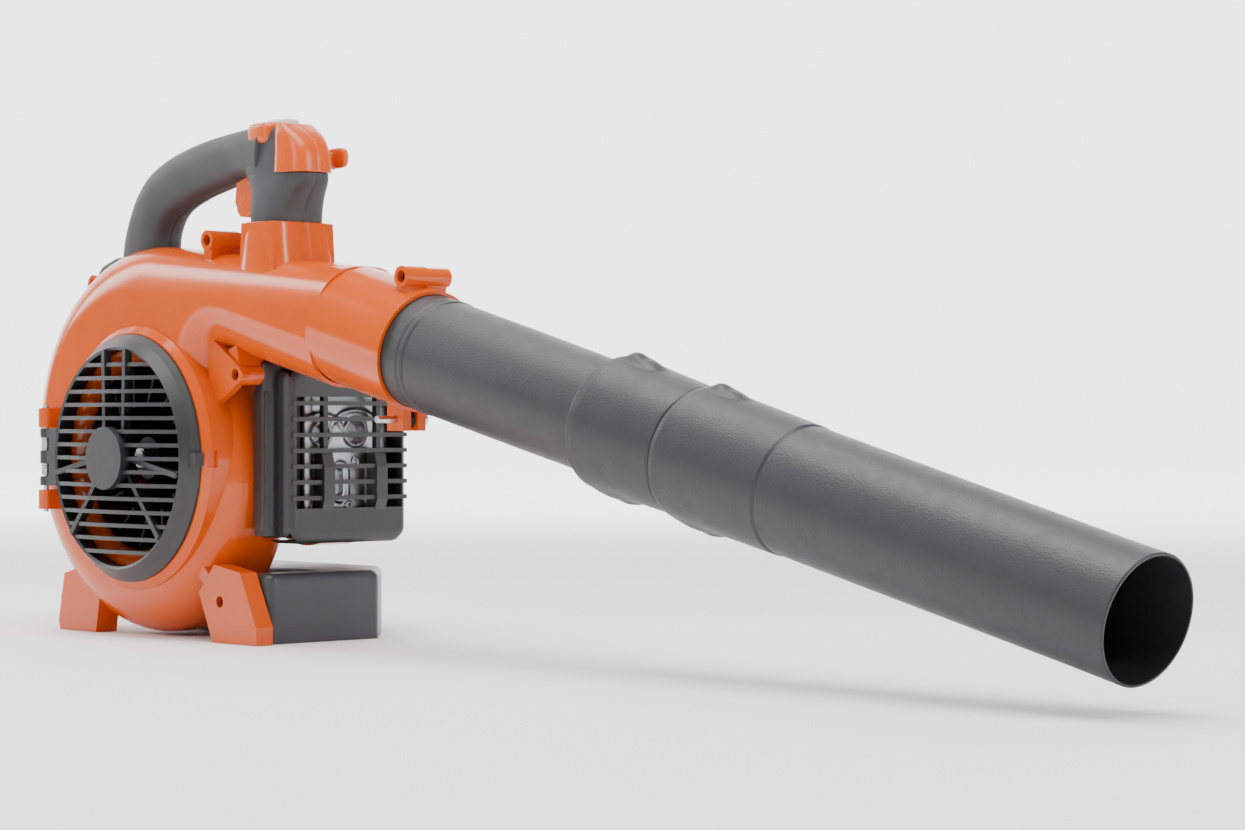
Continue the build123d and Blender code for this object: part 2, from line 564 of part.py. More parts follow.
finish(crankcase_inner_half, "crankcase_inner_half")
finish(crankcase_outer_half, "crankcase_outer_half")
finish(crank_bearings, "crank_bearings")
finish(cylinder, "cylinder")
finish(piston, "piston")
finish(piston_rings, "piston_rings")
finish(piston_pin, "piston_pin")
finish(connecting_rod, "connecting_rod")
finish(spark_plug, "spark_plug")
finish(plug_boot, "plug_boot")
finish(ignition_module, "ignition_module")
finish(ignition_lead, "ignition_lead")
finish(exhaust_gasket, "exhaust_gasket")
finish(muffler, "muffler")
finish(muffler_cover, "muffler_cover")

# ---- handle -------------------------------------------------------------

def handle_half(towards):
    """Half of the loop handle: a round-shouldered grip and the wider control block."""
    with BuildPart() as half:
        with BuildSketch(facing(0)) as grip:
            with BuildLine():
                Polyline((-15, 284), (-15, 303))
                Spline((-15, 303), (-4, 316), (25, 327), (74, 338), (100, 341), tangents=[(0, 1), (1, 0.05)])
                Line((100, 341), (126, 341))
                Line((126, 341), (126, 377))
                Spline((126, 377), (98, 377.5), (50, 373.5), (-4, 360), (-42, 337), (-61, 294),
                       tangents=[(-1, 0.03), (-0.15, -1)])
                Line((-61, 294), (-62, 276))
                Line((-62, 276), (-15, 284))
            make_face()
        extrude(amount=-towards * GRIP_HALF)
        shoulder = half.edges().group_by(Axis.Y)[0 if towards < 0 else -1]
        fillet(shoulder.filter_by(GeomType.BSPLINE), 10)
        with BuildSketch(facing(0)) as control:
            with BuildLine():
                Line((117, 306.3), (153, 306.3))
                Spline((153, 306.3), (160, 322), (172, 338), (171, 352), (163, 368), (146, 378),
                       tangents=[(0.1, 1), (-1, 0.1)])
                Line((146, 378), (112, 378))
                Line((112, 378), (112, 342))
                Line((112, 342), (117, 306.3))
            make_face()
        extrude(amount=-towards * BLOCK_HALF)
    return half.part


outer_grip = handle_half(-1)
inner_grip = handle_half(1)
TRIGGER_PIVOT = (113.0, 340.0)
LEVER_PIVOT = (150.0, 352.0)
SWITCH_X = 130.0
HANDLE_SCREWS = [(-38.0, 304.0), (122.0, 318.0)]


def handle_pockets():
    """Cut the pockets of the controls and the screw holes into a handle half."""
    block((78, 116), (-8.3, 8.3), (300, 346.5), mode=Mode.SUBTRACT)
    block((116, 146), (-8.3, 8.3), (312, 352), mode=Mode.SUBTRACT)
    disc_y(TRIGGER_PIVOT[0], TRIGGER_PIVOT[1], 2.52, -12.02, 12.02, mode=Mode.SUBTRACT)
    block((SWITCH_X - 16.3, SWITCH_X + 16.3), (-9.3, 9.3), (370, 390), mode=Mode.SUBTRACT)
    block((128, 142), (-4, 4), (300, 312.5), mode=Mode.SUBTRACT)
    block((144, 190), (-30, 8), (341, 374), mode=Mode.SUBTRACT)
    for x, z in HANDLE_SCREWS:
        disc_y(x, z, SCREW_R + 0.1, -30, 30, mode=Mode.SUBTRACT)
        disc_y(x, z, SCREW_HEAD_R + 0.3, -40, -14, mode=Mode.SUBTRACT)
    disc_y(LEVER_PIVOT[0], LEVER_PIVOT[1], 4.05, 16, 40, mode=Mode.SUBTRACT)


with BuildPart() as handle_outer_half:
    add(outer_grip)
    handle_pockets()
    add(outer_shape, mode=Mode.SUBTRACT)
    trim_half(-1)

with BuildPart() as handle_inner_half:
    add(inner_grip)
    handle_pockets()
    add(inner_shape, mode=Mode.SUBTRACT)
    block((-84, -57), (3, 27), (270, 301), mode=Mode.SUBTRACT)
    trim_half(1)

with BuildPart() as control_insert:
    block((144.3, 166), (-22, 7.7), (341.3, 373.7))
    fillet(control_insert.edges().filter_by(Axis.Z).group_by(Axis.X)[-1], 6)
    block((156, 170), (-12, -2), (345, 374), mode=Mode.SUBTRACT)
    block((140, 147), (-10, 10), (369, 380), mode=Mode.SUBTRACT)

with BuildPart() as switch_bezel:
    block((SWITCH_X - 16, SWITCH_X + 16), (-9, 9), (370.3, 379.3))
    block((SWITCH_X - 12, SWITCH_X + 12), (-6.3, 6.3), (372, 390), mode=Mode.SUBTRACT)

with BuildPart() as stop_switch:
    block((SWITCH_X - 11.7, SWITCH_X + 11.7), (-6, 6), (375, 382))
    fillet(stop_switch.edges().group_by(Axis.Z)[-1], 1.5)

with BuildPart() as throttle_trigger:
    plate_y([(82, 338), (92, 341), (117, 344), (117, 336),
             (108, 322), (96, 312), (86, 313), (80, 324)], -7, 7)
    fillet(throttle_trigger.edges().filter_by(Axis.Y), 1.5)
    disc_y(TRIGGER_PIVOT[0], TRIGGER_PIVOT[1], 2.5, -12, 12)

with BuildPart() as trigger_spring:
    disc_y(TRIGGER_PIVOT[0], TRIGGER_PIVOT[1], 4.4, 7.2, 8.2)
    disc_y(TRIGGER_PIVOT[0], TRIGGER_PIVOT[1], 2.8, 7, 9, mode=Mode.SUBTRACT)

with BuildPart() as cruise_lever:
    disc_y(LEVER_PIVOT[0], LEVER_PIVOT[1], 4, 18, 30)
    disc_y(LEVER_PIVOT[0], LEVER_PIVOT[1], 9, 26.4, 33)
    plate_y([(146, 346), (168, 352), (172, 362), (168, 366), (148, 361)], 26.4, 33)

finish(handle_outer_half, "handle_outer_half")
finish(handle_inner_half, "handle_inner_half")
finish(control_insert, "control_insert")
finish(switch_bezel, "switch_bezel")
finish(stop_switch, "stop_switch")
finish(throttle_trigger, "throttle_trigger")
finish(trigger_spring, "trigger_spring")
finish(cruise_lever, "cruise_lever")

# ---- fuel, intake and starter -------------------------------------------
TANK_FRONT = 135.0
TANK_WALL = 3.0
TANK_PLAN = [(-64, 43.5), (106, 43.5), (106, -17), (TANK_FRONT, -17), (TANK_FRONT, 84),
             (78, 132), (-64, 132)]
CAP_X, CAP_Y = -40.0, 78.0
HOSE_X, HOSE_Y = -50.0, 112.0
HOSE_R = 3.0


def tank_plan(inset):
    """Plan outline of the tank: a wide block beside the scroll that wraps round in front of it."""
    with BuildSketch() as plan:
        with BuildLine():
            Polyline(*TANK_PLAN, close=True)
        make_face()
        fillet(plan.vertices().group_by(Axis.X)[-1], 8)
        if inset:
            offset(amount=-inset, mode=Mode.REPLACE)
    return plan.sketch


with BuildPart() as fuel_tank:
    extrude(tank_plan(0), amount=TANK_TOP)
    fillet(fuel_tank.edges().group_by(Axis.Z)[-1], 6)
    hollow = Plane.XY.offset(TANK_WALL) * tank_plan(TANK_WALL)
    extrude(hollow, amount=TANK_TOP - 2 * TANK_WALL, mode=Mode.SUBTRACT)
    disc_z(CAP_X, CAP_Y, 13, TANK_TOP - TANK_WALL, TANK_TOP + 8)
    disc_z(CAP_X, CAP_Y, 10, TANK_TOP - 6, TANK_TOP + 9, mode=Mode.SUBTRACT)
    disc_z(HOSE_X, HOSE_Y, HOSE_R + 0.6, TANK_TOP - 6, TANK_TOP + 1, mode=Mode.SUBTRACT)

with BuildPart() as fuel_cap:
    disc_z(CAP_X, CAP_Y, 17, TANK_TOP + 1.5, TANK_TOP + 13)
    disc_z(CAP_X, CAP_Y, 13.4, TANK_TOP, TANK_TOP + 9.6, mode=Mode.SUBTRACT)
    with BuildSketch(Plane.XY.offset(TANK_TOP + 1)) as notches:
        with Locations((CAP_X, CAP_Y)):
            with PolarLocations(18, 16):
                Circle(1.8)
    extrude(notches.sketch, amount=13, mode=Mode.SUBTRACT)

with BuildPart() as fuel_cap_gasket:
    disc_z(CAP_X, CAP_Y, 12.8, TANK_TOP + 8.2, TANK_TOP + 9.4)
    disc_z(CAP_X, CAP_Y, 9.5, TANK_TOP + 8, TANK_TOP + 9.6, mode=Mode.SUBTRACT)

CARB_Z = 186.0
with BuildPart() as intake_spacer:
    block((-43, -31.02), (ENGINE_Y - 14, ENGINE_Y + 14), (CARB_Z - 11, CARB_Z + 11))
    disc_x(ENGINE_Y, CARB_Z, 6, -50, -30, mode=Mode.SUBTRACT)

with BuildPart() as carburettor:
    block((-73, -43.02), (ENGINE_Y - 16, ENGINE_Y + 16), (CARB_Z - 15, CARB_Z + 15))
    disc_x(ENGINE_Y, CARB_Z, 6.5, -80, -40, mode=Mode.SUBTRACT)
    disc_y(-58, CARB_Z + 4, 2.52, ENGINE_Y - 17, ENGINE_Y + 17, mode=Mode.SUBTRACT)
    disc_z(-62, ENGINE_Y, 9, CARB_Z - 21, CARB_Z - 14.9)

with BuildPart() as throttle_shaft:
    disc_y(-58, CARB_Z + 4, 2.48, ENGINE_Y - 26, ENGINE_Y - 8)
    plate_y([(-62, CARB_Z), (-54, CARB_Z), (-54, CARB_Z + 20), (-62, CARB_Z + 20)],
            ENGINE_Y - 21, ENGINE_Y - 18)

with BuildPart() as air_filter_base:
    block((-79, -73.02), (ENGINE_Y - 34, ENGINE_Y + 30), (CARB_Z - 24, CARB_Z + 54))
    disc_x(ENGINE_Y, CARB_Z, 6.5, -80, -70, mode=Mode.SUBTRACT)

with BuildPart() as air_filter_element:
    block((-99, -79.1), (ENGINE_Y - 28, ENGINE_Y + 24), (CARB_Z - 18, CARB_Z + 46))

with BuildPart() as air_filter_cover:
    plate_y([(-150, 214), (-155, 248), (-118, 285), (-96, 291), (-74, 291), (-74, 243),
             (-80.5, 243), (-80.5, 160), (-112, 160)], 42, 122)
    plate_y([(-146, 216), (-150, 247), (-116, 281), (-95, 287.5), (-76, 287.5), (-76, 245),
             (-78, 164), (-111, 164)], 44.5, 119, mode=Mode.SUBTRACT)
    plate_y([(-150, 236), (-155, 248), (-118, 285), (-96, 291), (-80, 291), (-92, 280)], 6, 43)
    disc_y(-96, 268, 8.5, 0, 21, mode=Mode.SUBTRACT)
    plate_y([(-96, 278), (-70, 270), (-70, 240), (-104, 256)], 0, 21, mode=Mode.SUBTRACT)

with BuildPart() as choke_lever:
    disc_y(-50, CARB_Z - 8, 3, ENGINE_Y + 16.2, ENGINE_Y + 20)
    plate_y([(-54, CARB_Z - 12), (-46, CARB_Z - 12), (-46, CARB_Z + 20), (-54, CARB_Z + 20)],
            ENGINE_Y + 17.5, ENGINE_Y + 20)

with BuildPart() as primer_bulb:
    disc_z(-62, ENGINE_Y, 8, CARB_Z - 28, CARB_Z - 21.1)
    fillet(primer_bulb.edges().group_by(Axis.Z)[0], 4)

FUEL_LINE = [(HOSE_X, HOSE_Y, 40), (HOSE_X, HOSE_Y, 90), (-49, 104, 130), (-48, 98, 155),
             (-48, 98, CARB_Z - 15.2)]
with BuildPart() as fuel_line:
    with BuildLine() as hose:
        FilletPolyline(*FUEL_LINE, radius=20)
    with BuildSketch(Plane(origin=hose.line @ 0, z_dir=hose.line % 0)):
        Circle(HOSE_R)
    sweep()

with BuildPart() as fuel_filter:
    disc_z(HOSE_X, HOSE_Y, 7, 8, 30)
    disc_z(HOSE_X, HOSE_Y, 2.5, 30, 39.9)

PULLEY_Y = 138.0
with BuildPart() as starter_pulley:
    disc_y(0, FAN_Z, 34, PULLEY_Y, PULLEY_Y + 2)
    disc_y(0, FAN_Z, 28, PULLEY_Y + 2, PULLEY_Y + 7)
    disc_y(0, FAN_Z, 34, PULLEY_Y + 7, PULLEY_Y + 9)
    disc_y(0, FAN_Z, 5.05, PULLEY_Y - 1, PULLEY_Y + 10, mode=Mode.SUBTRACT)

with BuildPart() as starter_rope:
    disc_y(0, FAN_Z, 32, PULLEY_Y + 2.2, PULLEY_Y + 6.8)
    disc_y(0, FAN_Z, 28.05, PULLEY_Y + 2, PULLEY_Y + 7, mode=Mode.SUBTRACT)

with BuildPart() as recoil_spring:
    disc_y(0, FAN_Z, 28, PULLEY_Y + 10, PULLEY_Y + 15)
    disc_y(0, FAN_Z, 8, PULLEY_Y + 9, PULLEY_Y + 16, mode=Mode.SUBTRACT)

STARTER_R = 70.0
with BuildPart() as starter_housing:
    fan_turned([(0, PULLEY_Y + 20), (STARTER_R - 6, PULLEY_Y + 20), (STARTER_R, PULLEY_Y + 14),
                (STARTER_R, 118), (STARTER_R - WALL, 118), (STARTER_R - WALL, PULLEY_Y + 13),
                (STARTER_R - 8, PULLEY_Y + 17), (0, PULLEY_Y + 17)])
    disc_y(0, FAN_Z, 5, PULLEY_Y - 1, PULLEY_Y + 17)
    block((-66, -40), (PULLEY_Y - 4, PULLEY_Y + 14), (FAN_Z + 30, FAN_Z + 62))
    fan_turned([(0, 110), (STARTER_R - WALL, 110), (STARTER_R - WALL, PULLEY_Y + 13), (36, PULLEY_Y + 17),
                (5, PULLEY_Y + 17), (5, PULLEY_Y - 1), (0, PULLEY_Y - 1)], mode=Mode.SUBTRACT)
    disc_z(-53, PULLEY_Y + 4.5, 3, FAN_Z + 20, FAN_Z + 64, mode=Mode.SUBTRACT)
    for angle in (60, 180, 300):
        disc_y(64 * cos(radians(angle)), FAN_Z + 64 * sin(radians(angle)), 2.55, 110, 170, mode=Mode.SUBTRACT)

with BuildPart() as starter_grille:
    fan_turned([(30, PULLEY_Y + 20.1), (58, PULLEY_Y + 20.1), (54, PULLEY_Y + 34), (30, PULLEY_Y + 36)])

with BuildPart() as starter_handle:
    block((-70, -36), (PULLEY_Y - 3, PULLEY_Y + 12), (FAN_Z + 62.2, FAN_Z + 78))
    fillet(starter_handle.edges().filter_by(Axis.Y), 5)
    fillet(starter_handle.edges().group_by(Axis.Y)[0], 3)

# ---- shared fasteners ---------------------------------------------------
with BuildPart() as case_screws:
    for x, z, face, root_x, root_z in CASE_SCREWS:
        disc_y(x, z, SCREW_R, face + 8, 14.8)
        disc_y(x, z, SCREW_HEAD_R, face + 8 - SCREW_HEAD, face + 8)
    for x, z in HANDLE_SCREWS:
        disc_y(x, z, SCREW_R, -14, 12)
        disc_y(x, z, SCREW_HEAD_R, -14 - SCREW_HEAD, -14)

finish(fuel_tank, "fuel_tank")
finish(fuel_cap, "fuel_cap")
finish(fuel_cap_gasket, "fuel_cap_gasket")
finish(intake_spacer, "intake_spacer")
finish(carburettor, "carburettor")
finish(throttle_shaft, "throttle_shaft")
finish(air_filter_base, "air_filter_base")
finish(air_filter_element, "air_filter_element")
finish(air_filter_cover, "air_filter_cover")
finish(choke_lever, "choke_lever")
finish(primer_bulb, "primer_bulb")
finish(fuel_line, "fuel_line")
finish(fuel_filter, "fuel_filter")
finish(starter_pulley, "starter_pulley")
finish(starter_rope, "starter_rope")
finish(recoil_spring, "recoil_spring")
finish(starter_housing, "starter_housing")
finish(starter_grille, "starter_grille")
finish(starter_handle, "starter_handle")
finish(case_screws, "case_screws")
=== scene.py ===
"""Looks of the hand-held petrol leaf blower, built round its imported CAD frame. Metres, +X along the tube."""
import json
from math import cos, pi, radians, sin

import bmesh
import bpy
import numpy as np
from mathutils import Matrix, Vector


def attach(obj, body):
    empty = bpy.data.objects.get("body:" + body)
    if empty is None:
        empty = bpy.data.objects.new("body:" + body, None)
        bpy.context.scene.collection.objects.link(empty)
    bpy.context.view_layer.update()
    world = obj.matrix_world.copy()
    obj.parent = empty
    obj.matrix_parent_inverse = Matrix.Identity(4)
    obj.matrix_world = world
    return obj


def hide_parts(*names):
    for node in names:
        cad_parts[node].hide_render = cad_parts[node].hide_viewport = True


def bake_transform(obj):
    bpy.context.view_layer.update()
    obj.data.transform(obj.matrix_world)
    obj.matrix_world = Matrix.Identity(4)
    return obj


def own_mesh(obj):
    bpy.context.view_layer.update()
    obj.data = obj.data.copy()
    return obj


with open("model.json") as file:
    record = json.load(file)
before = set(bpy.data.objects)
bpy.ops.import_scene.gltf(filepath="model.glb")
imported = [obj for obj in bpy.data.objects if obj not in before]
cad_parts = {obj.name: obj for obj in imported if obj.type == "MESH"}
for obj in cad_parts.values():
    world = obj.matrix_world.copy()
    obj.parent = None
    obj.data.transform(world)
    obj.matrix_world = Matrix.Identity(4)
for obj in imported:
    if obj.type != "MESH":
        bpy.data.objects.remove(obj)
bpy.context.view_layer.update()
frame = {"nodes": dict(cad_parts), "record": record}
MM = 0.001
FAN_Z = 134.3     # height of the fan axis, mm
VIEW_TURN = radians(47.6)     # how far round from the intake side the camera stands


# ---- camera, light and floor --------------------------------------------
SENSOR_WIDTH, LENS_LENGTH = 36.0, 93.81     # mm
CAMERA_PLACE = (2.0455, -1.4136, 0.1666)
SKY_STRENGTH = 0.32
FLOOR_WIDTH, FLOOR_DEPTH = 14.0, 16.0
FLOOR_DROP = 0.0002     # keeps the paper clear of the feet
RISE_START, RISE_RATE = 5.0, 0.9     # where the paper starts to curve up, and how fast
GLOW_FROM, GLOW_TO, GLOW_STRENGTH = 0.9, 3.5, 2.6     # distances from the origin, and the full glow


def camera():
    """Level long lens, turned from the intake side towards the nozzle."""
    data = bpy.data.cameras.new("studio_camera")
    data.sensor_width = SENSOR_WIDTH
    data.lens = LENS_LENGTH
    eye = bpy.data.objects.new("studio_camera", data)
    bpy.context.collection.objects.link(eye)
    eye.location = CAMERA_PLACE
    eye.rotation_euler = (radians(90), 0, VIEW_TURN)
    bpy.context.scene.camera = eye


def softbox(name, place, aim, width, height, watts):
    """White rectangular area light at place, turned towards aim."""
    data = bpy.data.lights.new(name, "AREA")
    data.shape = "RECTANGLE"
    data.size = width
    data.size_y = height
    data.energy = watts
    lamp = bpy.data.objects.new(name, data)
    bpy.context.collection.objects.link(lamp)
    lamp.location = place
    gaze = np.array(aim, float) - np.array(place, float)
    lamp.rotation_euler = Vector(gaze).to_track_quat("-Z", "Y").to_euler()


def srgb(code):
    """Linear RGBA of an sRGB hex colour."""
    parts = np.array([int(code[i:i + 2], 16) for i in (0, 2, 4)]) / 255
    linear = np.where(parts <= 0.04045, parts / 12.92, ((parts + 0.055) / 1.055) ** 2.4)
    return (*linear.tolist(), 1.0)


# ---- materials ----------------------------------------------------------
def node(tree, kind, inputs=None, links=None, **settings):
    """Adds a node, sets its attributes and input values, and links its inputs from other sockets."""
    made = tree.nodes.new(kind)
    for key, value in settings.items():
        setattr(made, key, value)
    for key, value in (inputs or {}).items():
        made.inputs[key].default_value = value
    for key, source in (links or {}).items():
        tree.links.new(source, made.inputs[key])
    return made


def finish_material(name, colour, roughness, grain_mm, grain_depth, tint=0.06, metallic=0.0, ior=1.5,
                    rough_swing=0.08, cell_mm=0.0):
    """Moulded or machined surface: colour drifting by tint over centimetres, roughness swinging with a finer
    noise, and a bump of grain_depth metres. The bump is a noise of grain_mm, or cells of cell_mm if given."""
    material = bpy.data.materials.new(name)
    material.use_nodes = True
    tree = material.node_tree
    tree.nodes.clear()
    place = node(tree, "ShaderNodeTexCoord")
    where = place.outputs["Object"]
    drift = node(tree, "ShaderNodeTexNoise", {"Scale": 28.0, "Detail": 2.0}, {"Vector": where})
    base = srgb(colour)
    low = tuple(c * (1 - tint) for c in base[:3]) + (1.0,)
    high = tuple(min(1.0, c * (1 + tint)) for c in base[:3]) + (1.0,)
    ramp = node(tree, "ShaderNodeValToRGB", {}, {"Fac": drift.outputs["Fac"]})
    ramp.color_ramp.elements[0].position = 0.3
    ramp.color_ramp.elements[0].color = low
    ramp.color_ramp.elements[1].position = 0.7
    ramp.color_ramp.elements[1].color = high
    rough_noise = node(tree, "ShaderNodeTexNoise", {"Scale": 90.0, "Detail": 3.0}, {"Vector": where})
    rough = node(tree, "ShaderNodeMapRange",
                 {"From Min": 0.3, "From Max": 0.7, "To Min": roughness - rough_swing / 2,
                  "To Max": roughness + rough_swing / 2},
                 {"Value": rough_noise.outputs["Fac"]})
    if cell_mm:
        grain = node(tree, "ShaderNodeTexVoronoi", {"Scale": 1 / (cell_mm * MM), "Randomness": 0.9},
                     {"Vector": where}, feature="SMOOTH_F1")
        height = grain.outputs["Distance"]
    else:
        grain = node(tree, "ShaderNodeTexNoise",
                     {"Scale": 1 / (grain_mm * MM), "Detail": 3.0, "Roughness": 0.6}, {"Vector": where})
        height = grain.outputs["Fac"]
    bump = node(tree, "ShaderNodeBump", {"Strength": 1.0, "Distance": grain_depth}, {"Height": height})
    shader = node(tree, "ShaderNodeBsdfPrincipled", {"Metallic": metallic, "IOR": ior},
                  {"Base Color": ramp.outputs["Color"], "Roughness": rough.outputs["Result"],
                   "Normal": bump.outputs["Normal"]})
    node(tree, "ShaderNodeOutputMaterial", {}, {"Surface": shader.outputs["BSDF"]})
    return material


FINISHES = {
    # injection-moulded nylon, glossy: clear soft highlights over a faint orange-peel
    "orange_shell": finish_material("moulded_orange_nylon", "C94C00", 0.17, 3.0, 0.00002, 0.03, ior=1.46,
                                    rough_swing=0.05),
    # moulded polypropylene with a spark-eroded leather grain: broad dull highlights, broken up by the cells
    "tube_plastic": finish_material("grained_polypropylene", "272729", 0.47, 0.0, 0.00016, 0.05, ior=1.49,
                                    cell_mm=1.3, rough_swing=0.08),
    # overmoulded soft-touch elastomer: dull, with a very fine tooth
    "grip_rubber": finish_material("soft_touch_elastomer", "2E2E30", 0.58, 0.6, 0.00004, 0.05, ior=1.5),
    # moulded glass-filled nylon: satin, a little uneven where the glass lies near the surface
    "cover_plastic": finish_material("satin_filled_nylon", "262628", 0.42, 0.9, 0.00004, 0.05, ior=1.53),
    # blow-moulded polyethylene: waxy satin with slow waves
    "tank_plastic": finish_material("blow_moulded_polyethylene", "323235", 0.40, 4.0, 0.00006, 0.04,
                                    ior=1.51),
    # moulded filled nylon of the small fittings: near black, satin
    "black_plastic": finish_material("black_filled_nylon", "141416", 0.45, 1.0, 0.00004, 0.1, ior=1.53),
    # moulded acetal of the levers and the insert: smooth, with softer highlights than the shell
    "control_orange": finish_material("moulded_orange_acetal", "C94C00", 0.28, 1.5, 0.00002, 0.03, ior=1.48),
    # moulded acetal of the switch: pale, smooth and slightly waxy
    "switch_white": finish_material("light_grey_acetal", "D9D9D6", 0.3, 1.5, 0.00001, 0.02, ior=1.48),
    # zinc-plated steel: bright metal with small cloudy changes
    "steel": finish_material("zinc_plated_steel", "C6C7C9", 0.27, 0.4, 0.00002, 0.08, metallic=1.0),
    # black-oxided steel of the screws: dark metal with a dull sheen
    "screw_black": finish_material("black_oxide_steel", "26262A", 0.36, 0.4, 0.00002, 0.1, metallic=1.0),
    # sand-cast aluminium: dull grey metal with a visible fine pebble
    "cast_aluminium": finish_material("sand_cast_aluminium", "A9AAAD", 0.5, 0.8, 0.00012, 0.08, metallic=1.0),
    # pressed aluminised steel: bright metal, satin in patches
    "muffler_steel": finish_material("pressed_aluminised_steel", "B9BABC", 0.36, 2.0, 0.00002, 0.08,
                                     metallic=1.0, rough_swing=0.10),
    # moulded nitrile rubber: black and matt
    "black_rubber": finish_material("black_nitrile_rubber", "151516", 0.62, 0.6, 0.00004, 0.1),
    # oiled open-cell foam: dark, rough and mottled
    "foam": finish_material("oiled_filter_foam", "202022", 0.9, 1.2, 0.0004, 0.3),
    # pressed fibre board: matt, with a fibrous tint
    "gasket": finish_material("gasket_board", "4A4640", 0.8, 0.5, 0.00006, 0.2),
    # machined cast iron: mid-grey satin metal
    "iron": finish_material("machined_iron", "6B6B6E", 0.35, 0.4, 0.00002, 0.08, metallic=1.0),
    # braided nylon cord: pale and matt, with the weave as a bump
    "rope_fabric": finish_material("braided_nylon", "CFCBBB", 0.7, 1.0, 0.0002, 0.15),
}


def dress_cad():
    """Gives every CAD node the finish of its own slot."""
    slots = {row["node"]: row["material_slot"] for row in frame["record"]["subparts"]}
    for name, piece in frame["nodes"].items():
        piece.data.materials.clear()
        piece.data.materials.append(FINISHES[slots[name]])


def floor():
    """Plain pale studio floor, flat near the camera and curved up behind as a square of the distance, then
    turned about the origin to face the camera."""
    across = np.linspace(-FLOOR_WIDTH / 2, FLOOR_WIDTH / 2, 9)
    run = np.linspace(-FLOOR_DEPTH / 2, FLOOR_DEPTH / 2, 65)
    lift = np.where(run > RISE_START, (run - RISE_START) ** 2 * RISE_RATE, 0.0)
    grid = np.stack(np.broadcast_arrays(across[:, None], run[None, :], lift[None, :]), axis=-1)
    spun = grid.copy()
    spun[..., 0] = grid[..., 0] * cos(VIEW_TURN) - grid[..., 1] * sin(VIEW_TURN)
    spun[..., 1] = grid[..., 0] * sin(VIEW_TURN) + grid[..., 1] * cos(VIEW_TURN)
    spun[..., 2] -= FLOOR_DROP
    plane = surface("studio_floor", spun, paper())


def paper():
    """White background paper, matt and smooth. It glows more and more with distance from the origin, as
    paper does that has lamps of its own behind the subject."""
    material = finish_material("background_paper", "F4F4F4", 0.8, 5.0, 0.00001, 0.005)
    tree = material.node_tree
    shader = next(n for n in tree.nodes if n.type == "BSDF_PRINCIPLED")
    place = node(tree, "ShaderNodeTexCoord")
    reach = node(tree, "ShaderNodeVectorMath", {}, {0: place.outputs["Object"]}, operation="LENGTH")
    glow = node(tree, "ShaderNodeMapRange",
                {"From Min": GLOW_FROM, "From Max": GLOW_TO, "To Min": 0.0, "To Max": GLOW_STRENGTH},
                {"Value": reach.outputs["Value"]}, interpolation_type="SMOOTHSTEP")
    tree.links.new(glow.outputs["Result"], shader.inputs["Emission Strength"])
    shader.inputs["Emission Color"].default_value = (1, 1, 1, 1)
    return material


def surface(name, grid, material, wrap_u=False, wrap_v=False, caps=False):
    """Mesh object from a (u, v, 3) array of points in metres, closed along u or v where asked. With caps, the
    first and last row across u are closed to their own middle point. Shaded smooth."""
    count_u, count_v = grid.shape[:2]
    index = np.arange(count_u * count_v).reshape(count_u, count_v)
    if wrap_u:
        index = np.vstack([index, index[:1]])
    if wrap_v:
        index = np.hstack([index, index[:, :1]])
    quads = np.stack([index[:-1, :-1], index[1:, :-1], index[1:, 1:], index[:-1, 1:]], axis=-1).reshape(-1, 4)
    points, faces = grid.reshape(-1, 3), quads.tolist()
    if caps:
        middles = np.stack([grid[0].mean(axis=0), grid[-1].mean(axis=0)])
        for row, pole in ((index[0], len(points)), (index[-1], len(points) + 1)):
            faces += np.stack([row[:-1], row[1:], np.full(len(row) - 1, pole)], axis=-1).tolist()
        points = np.vstack([points, middles])
    mesh = bpy.data.meshes.new(name)
    mesh.from_pydata(points.tolist(), [], faces)
    shell = bmesh.new()
    shell.from_mesh(mesh)
    bmesh.ops.remove_doubles(shell, verts=shell.verts, dist=1e-6)
    bmesh.ops.recalc_face_normals(shell, faces=shell.faces)
    shell.to_mesh(mesh)
    shell.free()
    mesh.validate()
    mesh.materials.append(material)
    mesh.polygons.foreach_set("use_smooth", np.ones(len(mesh.polygons), bool))
    piece = bpy.data.objects.new(name, mesh)
    bpy.context.collection.objects.link(piece)
    return piece


def flowing(points, count):
    """Catmull-Rom curve through the rows of points, sampled count times along their index."""
    rows = np.asarray(points, float)
    padded = np.vstack([2 * rows[0] - rows[1], rows, 2 * rows[-1] - rows[-2]])
    where = np.linspace(0, len(rows) - 1, count)
    first = np.minimum(where.astype(int), len(rows) - 2)
    t = (where - first)[:, None]
    p0, p1, p2, p3 = (padded[first + k] for k in range(4))
    return 0.5 * (2 * p1 + (p2 - p0) * t + (2 * p0 - 5 * p1 + 4 * p2 - p3) * t ** 2
                  + (3 * p1 - p0 - 3 * p2 + p3) * t ** 3)


def power(values, exponent):
    """Sign-keeping power, which squares off a circle into a rounded box."""
    return np.sign(values) * np.abs(values) ** exponent


def smooth_step(values, low, high):
    """0 below low, 1 above high, and a cubic in between."""
    t = np.clip((values - low) / (high - low), 0, 1)
    return t * t * (3 - 2 * t)


# ---- blow tube ----------------------------------------------------------
PITCH = radians(14.0)     # how far the tube points down
COLLAR = np.array([296.7, 0.0, 210.4])
ALONG = np.array([cos(PITCH), 0.0, -sin(PITCH)])
UPWARD = np.array([sin(PITCH), 0.0, cos(PITCH)])
# distances along the tube where the sleeve, the nozzle and the nozzle's step start, and the tip
COUPLING_S, NOZZLE_S, STEP_S, TIP_S = 201.0, 279.0, 372.0, 648.0


